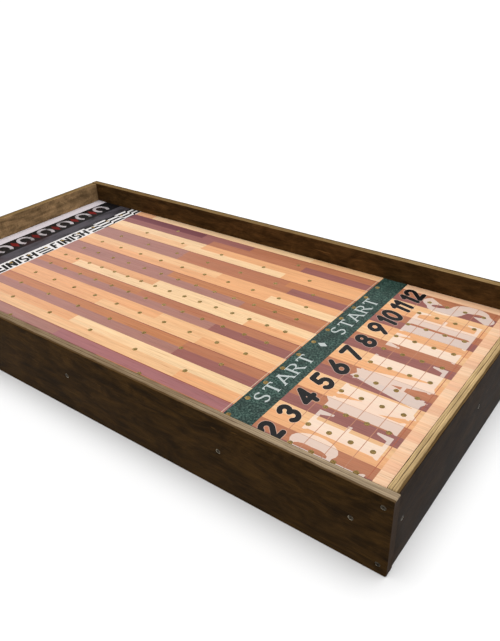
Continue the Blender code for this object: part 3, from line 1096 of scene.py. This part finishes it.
def wood_screw(screw, radius):
    """A countersunk screw with a cross recess and a thread.

    The thread's radius is core + ridge (1 - |2 frac(turns) - 1|)^2, where turns counts both the
    rise over the pitch and the angle; it tapers to a point over the last stretch.
    """
    count = 32
    around = circle((0, 0), 1.0, count)
    spin = math.radians(37 * SCREWS.index(screw) % 90)
    turn = np.array([(math.cos(spin), math.sin(spin)), (-math.sin(spin), math.cos(spin))])
    wide, narrow = (cross_outline(*size) @ turn for size in (RECESS_MOUTH, RECESS_FLOOR))
    points, triangles = cut_out(around * (radius - HEAD_EDGE), [wide])
    bottom, floor = cut_out(narrow)
    shells = [(at_height(points, 0.0), triangles),
              tube([at_height(wide, 0.0)[::-1], at_height(narrow, -RECESS_DEPTH)[::-1]]),
              (at_height(bottom, -RECESS_DEPTH), floor)]
    depth = np.concatenate([HEAD_DEPTHS, np.linspace(THREAD_START, screw.length - 0.0004, 118)])
    angle = np.arange(count) * math.tau / count
    turns = depth[:, None] / THREAD_PITCH + angle[None] / math.tau
    wave = (1 - np.abs(2 * (turns % 1.0) - 1)) ** 2
    taper = np.clip((screw.length - depth) / 0.006, 0.05, 1.0)[:, None]
    shank = (THREAD_CORE + THREAD_RIDGE * wave) * taper
    shank[:4] = np.array([radius - HEAD_EDGE, radius, radius, THREAD_CORE + THREAD_RIDGE])[:, None]
    body = np.concatenate([np.cos(angle)[None, :, None] * shank[:, :, None],
                           np.sin(angle)[None, :, None] * shank[:, :, None],
                           np.broadcast_to(-depth[:, None, None], (*shank.shape, 1))], axis=2)
    shells += [tube(body), cap(body[-1])]
    up, out = np.array([0.0, 0.0, 1.0]), screw.outward()
    basis = np.array([np.cross(up, out), up, out])
    return [(points @ basis + screw.head, faces) for points, faces in shells]


# ---- materials -----------------------------------------------------------------------------
PRINT_GLOSS = 0.20
STAIN_GLOSS = 0.02
VEIL = printed(255, 240, 226)
HOLE_LIGHT, HOLE_DARK = srgb(236, 217, 164), srgb(210, 188, 132)


def printed_surface(name):
    """A print's graph, its Object coordinates and the colour of each printed area."""
    graph = Graph(name)
    return graph, graph.place(), graph.attribute("tint", "Color")


def satin(graph, colour, grain, rise, depth=0.04):
    """A satin print: rougher by a rise where the grain is high, and barely embossed by it."""
    return graph.finish(colour, 0.36 + grain * rise, graph.bump(grain, depth, 0.0002),
                        Specular_IOR_Level=PRINT_GLOSS)


def printed_planks():
    """Printed wood under a satin clear coat: the plank's colour with fine and broad grain, and a painted
    sheen towards the finish end.
    """
    graph, place, tint = printed_surface("printed planks")
    veil = graph.attribute("veil", "Fac")
    seed = graph.attribute("plank", "Fac")
    shift = graph.node("ShaderNodeCombineXYZ", None, {0: seed * 7.0, 1: seed * 3.1, 2: seed * 11.0})
    fine = graph.grain(place, (24.0, 700.0, 1.0), 3.0, 0.6, 0.4, shift=shift)
    broad = graph.grain(place, (3.2, 150.0, 1.0), 4.0, 0.55, 1.2, shift=shift)
    cloud = graph.grain(place, (5.0, 20.0, 1.0), 2.0, shift=shift)
    figure = graph.grain(place, (2.4, 85.0, 1.0), 3.0, 0.6, 2.4, shift=shift)
    shade = 1.0 + (fine - 0.5) * 0.50 + (broad - 0.5) * 0.45 + (cloud - 0.5) * 0.20
    wood = graph.mix(figure.step(0.46, 0.66) * 0.40, tint, graph.times(tint, (1.02, 0.86, 0.78)))
    wood = graph.times(wood, graph.grey(shade))
    line = fine.step(0.42, 0.32) * broad.step(0.62, 0.44)
    wood = graph.mix(line * 0.42, wood, graph.times(wood, (0.72, 0.46, 0.36)))
    # Painted sheen: a pale lilac haze that grows towards the finish end, standing in for the clear coat's
    # reflection at a glancing view.
    painted_sheen = graph.axis(place, "X").step(0.15, -0.45)
    wood = graph.mix(painted_sheen * 0.058, wood, (0.72, 0.60, 0.74))
    colour = graph.mix(veil, wood, VEIL)
    scuff = graph.grain(place, (40.0, 60.0, 1.0), 5.0)
    normal = graph.bump(fine, 0.06, 0.0002)
    return graph.finish(colour, 0.34 + scuff * 0.16, normal, Specular_IOR_Level=PRINT_GLOSS)


def printed_band():
    """The start band: a dark green, mottled like felt."""
    graph, place, tint = printed_surface("start band")
    grain = graph.grain(place, (260.0, 260.0, 1.0), 4.0, 0.75)
    cloud = graph.grain(place, (38.0, 38.0, 1.0), 3.0)
    light = graph.mix(grain.step(0.42, 0.66), tint, printed(104, 128, 118))
    colour = graph.mix(cloud.step(0.35, 0.70) * 0.45, light, printed(30, 50, 46))
    return satin(graph, colour, grain, 0.14, 0.05)


def printed_ink():
    """Flat printed colours, with the faint unevenness of ink."""
    graph, place, tint = printed_surface("printed ink")
    speck = graph.grain(place, (420.0, 420.0, 1.0), 3.0, 0.7)
    cloud = graph.grain(place, (16.0, 16.0, 1.0), 3.0)
    shade = 0.94 + speck * 0.06 + cloud * 0.06
    colour = graph.times(tint, graph.grey(shade))
    return satin(graph, colour, speck, 0.12)


def printed_banner():
    """The charcoal banner behind the horseshoes: dark and grey clouds with a wine-red cast."""
    graph, place, tint = printed_surface("printed banner")
    cloud = graph.grain(place, (26.0, 13.0, 1.0), 5.0, 0.6, 0.6)
    patch = graph.grain(place, (9.0, 7.0, 1.0), 2.0)
    dark = graph.mix(cloud.step(0.45, 0.70) * 0.8, tint, printed(30, 26, 30))
    colour = graph.mix(patch.step(0.55, 0.72) * 0.35, dark, printed(88, 34, 50))
    return satin(graph, colour, cloud, 0.14)


def bare_board(name, light, dark):
    """Unfinished wood: long pores and soft bands, with a little grime."""
    graph = Graph(name)
    place = graph.place()
    fibre = graph.grain(place, (5.0, 130.0, 130.0), 5.0, 0.62, 0.5)
    pore = graph.grain(place, (20.0, 520.0, 520.0), 2.0, 0.7)
    cloud = graph.noise(place, 14.0, 4.0)
    colour = graph.mix(fibre.step(0.36, 0.66), dark, light)
    colour = graph.mix(pore.step(0.42, 0.32) * 0.5, colour, scaled(dark, 0.45))
    colour = graph.mix(cloud.step(0.55, 0.75) * 0.25, colour, dark)
    height = fibre * 0.6 + pore * 0.4
    return graph.finish(colour, 0.62 + fibre * 0.2, graph.bump(height, 0.35, 0.0006))


def ply_face(graph, place, thickness, outer, inner, pores):
    """Stain on the faces: long streaks, blotches, dark pores and a few pale scratches."""
    streak = graph.grain(place, (5.0, 0.0, 30.0), 6.0, 0.66, 2.2)
    blotch = graph.grain(place, (12.0, 0.0, 26.0), 6.0, 0.68, 1.2)
    pore = graph.grain(place, pores, 3.0, 0.65)
    scratch = graph.grain(place, (11.0, 0.0, 150.0), 2.0, 0.5, 2.0, shift=(0.0, 0.0, 9.0))
    tone = 0.50 + streak.step(0.34, 0.68) * 0.66 + blotch.step(0.38, 0.70) * 0.80
    tone = tone * (1.0 - pore.step(0.48, 0.36) * 0.45) + scratch.step(0.70, 0.76) * 1.2
    inside = graph.axis(place, "Y").step(thickness * 0.4, thickness * 0.6)
    colour = graph.times(graph.mix(inside, outer, inner), graph.grey(tone))
    return colour, streak, pore * 0.5 + streak * 0.5


def ply_edge(graph, place, board, settings, ragged, bare):
    """A sanded edge: plies between uneven glue lines, soiled, with stain soaked in from outside."""
    stain = settings.stain
    depth = graph.axis(place, "Y")
    layer = (depth + (ragged - 0.5) * 0.0024) * (settings.plies / board.thickness)
    part = layer.fraction()
    fade = graph.grain(place, (6.0, 280.0, 6.0), 3.0, shift=(5.0, 0.0, 0.0))
    strong = ((layer + 0.5).floor() * 0.5).fraction().step(0.2, 0.3)
    glue = (part.step(0.76, 0.92) + part.step(0.22, 0.08)) * (0.45 + 0.55 * fade.step(0.42, 0.56))
    glue = glue * (0.28 + 0.72 * strong)
    cross = (layer.floor() * 0.5).fraction().step(0.2, 0.3)
    fibre = graph.grain(place, (14.0, 420.0, 14.0), 4.0, 0.65, 0.3)
    pits = graph.grain(place, (700.0, 900.0, 700.0), 2.0, 0.6)
    soil = graph.grain(place, (5.0, 0.0, 5.0), 4.0, 0.6, shift=(3.0, 0.0, 1.0))
    edge = graph.mix(fibre.step(0.32, 0.68), scaled(bare, 0.66), scaled(bare, 1.12))
    edge = graph.mix(cross * pits.step(0.40, 0.60) * 0.30, edge, scaled(bare, 0.45))
    edge = graph.mix(glue * 0.88, edge, tuple(settings.glue))
    edge = graph.mix(soil.step(0.50, 0.70) * 0.40, edge, scaled(stain, 3.0))
    # The edges grow darker towards the finish end.
    darker_to_finish_end = graph.axis(graph.place(), "X").step(0.50, 0.10)
    edge = graph.mix(darker_to_finish_end * 0.40, edge, scaled(stain, 2.6))
    soaked = (depth + (ragged - 0.5) * 0.0050).step(0.0064, 0.0028)
    edge = graph.mix(soaked * 0.85, edge, scaled(stain, 1.6))
    below_top = graph.axis(place, "Z").step(board.height - 0.0015, board.height - 0.0030)
    end_grain = graph.mix(glue, tuple(settings.end_grain), scaled(settings.end_grain, 1.9))
    return graph.mix(below_top, edge, end_grain), fibre * 0.7 - glue * 0.5


def stained_ply(board, settings, outer, inner, bare, pores):
    """Plywood stained dark on its faces, with sanded, partly soaked edges that show the plies.

    The attribute holds the distance along the board, moved on for each board so that no two have
    the same grain, the depth below its outer face and the height. Faces are where the depth is
    near 0 or near the thickness.
    """
    graph = Graph("stained " + board.node.replace("_", " "))
    place = graph.attribute("ply")
    half = board.thickness / 2
    ragged = graph.grain(place, (28.0, 260.0, 28.0), 5.0, 0.65)
    face, streak, face_height = ply_face(graph, place, board.thickness, tuple(outer), tuple(inner), pores)
    edge, edge_height = ply_edge(graph, place, board, settings, ragged, bare)
    from_middle = abs(graph.axis(place, "Y") - half) + (ragged - 0.5) * 0.0030
    on_face = from_middle.step(half - 0.0012, half - 0.0006)
    wear_and_highlight = from_middle.step(half - 0.0016, half - 0.0009)
    worn = graph.grain(place, (16.0, 0.0, 16.0), 5.0, 0.65)
    edge = graph.mix(wear_and_highlight * worn.step(0.62, 0.45) * 0.6, edge, scaled(settings.stain, 2.2))
    polish = graph.grain(place, (3.0, 0.0, 9.0), 3.0, shift=(0.0, 0.0, 4.0))
    rough = 0.41 + streak * 0.16 + (1.0 - on_face) * 0.16 + polish * 0.10
    height = face_height * on_face + edge_height * (1.0 - on_face)
    return graph.finish(graph.mix(on_face, edge, face), rough, graph.bump(height, 0.30, 0.0005),
                        Specular_IOR_Level=STAIN_GLOSS)


def scaled(value, factor):
    """A lighter or darker version of a colour."""
    return tuple(min(part * factor, 1.0) for part in value)


def screw_steel():
    """Dull plated steel: scratched and tarnished dark, with a painted highlight where the rim value is
    high.
    """
    graph = Graph("tarnished steel")
    place = graph.place()
    scratch = graph.grain(place, (900.0, 900.0, 900.0), 3.0, 0.7)
    tarnish = graph.grain(place, (260.0, 260.0, 260.0), 4.0, 0.6)
    # Painted highlight: a pale crescent srgb(214, 204, 176) round each head's rim, broken up by the
    # tarnish.
    rim = graph.attribute("rim", "Fac").step(0.62, 0.96) * tarnish.step(0.60, 0.44)
    dark = graph.mix(tarnish.step(0.42, 0.66), srgb(70, 62, 48), srgb(34, 29, 21))
    colour = graph.mix(rim, dark, srgb(214, 204, 176))
    return graph.finish(colour, 0.30 + scratch * 0.24, graph.bump(scratch, 0.15, 0.0001),
                        Metallic=0.7)


def studio_floor(settings):
    """A plain pale floor with the faintest mottling."""
    graph = Graph("pale floor")
    cloud = graph.noise(graph.place(), 1.3, 2.0)
    pale = tuple(settings.floor)
    colour = graph.mix(cloud, pale, scaled(pale, 1.02))
    return graph.finish(colour, 0.9)


# ---- operators -----------------------------------------------------------------------------
class AddPrintedFace(bpy.types.Operator):
    """Add the printed and drilled playing face"""
    bl_idname = "peg_board.add_printed_face"
    bl_label = "Printed face"

    def execute(self, context):
        points, faces, material, looks = printed_face()
        materials = [printed_planks(), printed_band(), printed_ink(), printed_banner(),
                     bare_board("sheet core", HOLE_LIGHT, HOLE_DARK)]
        piece = make_mesh("printed_face", points, faces, materials, material)
        corner_colours(piece, "tint", looks["tint"])
        face_values(piece, "veil", looks["veil"])
        face_values(piece, "plank", looks["plank"])
        hand_over(piece, "printed_face_sheet")
        return {'FINISHED'}


class AddPanel(bpy.types.Operator):
    """Add the drilled plywood panel under the print"""
    bl_idname = "peg_board.add_panel"
    bl_label = "Panel"

    def execute(self, context):
        materials = [bare_board("panel plywood", srgb(190, 160, 106), srgb(140, 112, 66)),
                     bare_board("hole wall", HOLE_LIGHT, HOLE_DARK)]
        shells, surfaces = drilled_panel()
        piece = weld("drilled_panel", shells, materials, surfaces)
        hand_over(piece, "playing_panel")
        return {'FINISHED'}


class AddBoards(bpy.types.Operator):
    """Add the four standing boards of the tray"""
    bl_idname = "peg_board.add_boards"
    bl_label = "Tray boards"

    def execute(self, context):
        settings = context.scene.board_settings
        along, upright = (34.0, 0.0, 900.0), (800.0, 0.0, 60.0)
        dark = settings.stain
        looks = {"near_side_board": (dark, dark, settings.soiled_ply, along),
                 "far_side_board": (dark, settings.warm_stain, settings.dull_ply, along),
                 # the finish end board's inner stain is lighter partly as painted light
                 "finish_end_board": (dark, settings.thin_stain, settings.dull_ply, upright),
                 # the scratch end board's outer stain is darker as painted shade
                 "scratch_end_board": (settings.end_stain, dark, settings.ply, along)}
        for number, node in enumerate(name for name in NODES if name.endswith("_board")):
            board, shells = standing_board(node, settings)
            material = stained_ply(board, settings, *looks[node])
            piece = weld(node.replace("_board", "_plank"), shells, [material])
            measures = board.measure(mesh_points(piece))
            measures[:, 0] += number * 2.7
            point_attribute(piece, "ply", 'FLOAT_VECTOR', measures)
            smooth(piece, 35)
            hand_over(piece, node)
        return {'FINISHED'}


class AddScrews(bpy.types.Operator):
    """Add the countersunk screws"""
    bl_idname = "peg_board.add_screws"
    bl_label = "Screws"

    def execute(self, context):
        settings = context.scene.board_settings
        material = screw_steel()
        for screw in SCREWS:
            piece = weld("threaded_" + screw.name, wood_screw(screw, settings.head), [material])
            # the rim value places a painted highlight: distance from the axis over the head's radius, more
            # on the lower side, less on the corner screws, which sit deeper and get painted shade
            offset = np.delete(mesh_points(piece) - screw.head, screw.axis, axis=1)
            reach = np.linalg.norm(offset, axis=1)
            wear_and_highlight = offset @ (-0.5, -0.8) / np.maximum(reach, 0.0001)
            deep = 0.88 if screw.name.startswith("corner") else 1.0
            rim = reach / settings.head * deep * (0.86 + 0.14 * wear_and_highlight)
            point_attribute(piece, "rim", 'FLOAT', rim)
            smooth(piece, 40)
            hand_over(piece, screw.name)
        return {'FINISHED'}


FLOOR_REACH = 60.0
OVERHEAD_FROM, OVERHEAD_STRENGTH, OVERHEAD_SOFTNESS = (0.06, 0.02, 1.0), 2.75, math.radians(48)
WINDOW_PLACE, WINDOW_POWER, WINDOW_SIZE = (-0.7, 2.5, 3.0), 14.0, 1.6
ROOM_LIGHT = 0.45


class SetStage(bpy.types.Operator):
    """Set up the floor, the lights and the camera"""
    bl_idname = "peg_board.set_stage"
    bl_label = "Stage"

    def execute(self, context):
        settings = context.scene.stage_settings
        square = at_height(rectangle(-FLOOR_REACH, FLOOR_REACH, -FLOOR_REACH, FLOOR_REACH), 0.0)
        floor = make_mesh("floor", square, [(0, 1, 2, 3)], [studio_floor(settings)])
        self.backdrop()
        self.hang('SUN', "overhead", OVERHEAD_FROM, energy=OVERHEAD_STRENGTH, angle=OVERHEAD_SOFTNESS)
        self.hang('AREA', "window", WINDOW_PLACE, energy=WINDOW_POWER, size=WINDOW_SIZE)
        world = bpy.data.worlds.new("studio")
        world.use_nodes = True
        background = world.node_tree.nodes["Background"]
        background.inputs["Color"].default_value = (1.0, 1.0, 1.0, 1.0)
        background.inputs["Strength"].default_value = ROOM_LIGHT
        context.scene.world = world
        context.scene.view_settings.view_transform = 'Standard'
        camera = bpy.data.objects.new("camera", bpy.data.cameras.new("camera"))
        context.scene.collection.objects.link(camera)
        camera.data.sensor_fit = 'HORIZONTAL'
        camera.data.lens = camera.data.sensor_width / 2 / math.tan(settings.view_angle / 2)
        camera.data.clip_end = 200.0
        eye = Vector(settings.eye)
        aim = (Vector(settings.look) - eye).to_track_quat('-Z', 'Y')
        camera.location = eye
        camera.rotation_euler = (aim.to_matrix() @ Matrix.Rotation(settings.roll, 3, 'Z')).to_euler()
        context.scene.camera = camera
        return {'FINISHED'}

    def backdrop(self):
        """A white wall round the floor, which the camera sees and which lights nothing."""
        ring = circle((0, 0), FLOOR_REACH * 0.98, 64)[::-1]
        points, quads = tube([at_height(ring, height) for height in (FLOOR_REACH, 0.0)])
        graph = Graph("white backdrop")
        white = graph.finish((0.0, 0.0, 0.0), 1.0, Emission_Color=(1.0, 1.0, 1.0), Emission_Strength=1.0)
        wall = make_mesh("backdrop", points, quads.tolist(), [white])
        wall.visible_diffuse = wall.visible_glossy = wall.visible_shadow = False

    def hang(self, kind, name, place, **values):
        """Put a light at a place, facing the middle of the board."""
        data = bpy.data.lights.new(name, kind)
        for key, value in values.items():
            setattr(data, key, value)
        lamp = bpy.data.objects.new(name, data)
        lamp.location = place
        lamp.rotation_euler = (-Vector(place)).to_track_quat('-Z', 'Y').to_euler()
        bpy.context.scene.collection.objects.link(lamp)


OPERATORS = (AddPrintedFace, AddPanel, AddBoards, AddScrews, SetStage)


class PegBoardPanel(bpy.types.Panel):
    """The steps that build the peg board"""
    bl_idname = "PEGBOARD_PT_steps"
    bl_label = "Peg board"
    bl_space_type = 'VIEW_3D'
    bl_region_type = 'UI'
    bl_category = "Peg Board"

    def draw(self, context):
        for operator in OPERATORS:
            self.layout.operator(operator.bl_idname)


CLASSES = (BoardSettings, PrintSettings, StageSettings, *OPERATORS, PegBoardPanel)


def register():
    """Register the classes and their settings."""
    for item in CLASSES:
        bpy.utils.register_class(item)
    bpy.types.Scene.board_settings = bpy.props.PointerProperty(type=BoardSettings)
    bpy.types.Scene.print_settings = bpy.props.PointerProperty(type=PrintSettings)
    bpy.types.Scene.stage_settings = bpy.props.PointerProperty(type=StageSettings)


def unregister():
    """Take the settings and the classes away again."""
    for name in ("stage_settings", "print_settings", "board_settings"):
        delattr(bpy.types.Scene, name)
    for item in reversed(CLASSES):
        bpy.utils.unregister_class(item)


def main():
    """Build every piece and the stage."""
    register()
    for operator in OPERATORS:
        group, step = operator.bl_idname.split(".")
        getattr(getattr(bpy.ops, group), step)()


if __name__ == "__main__":
    main()
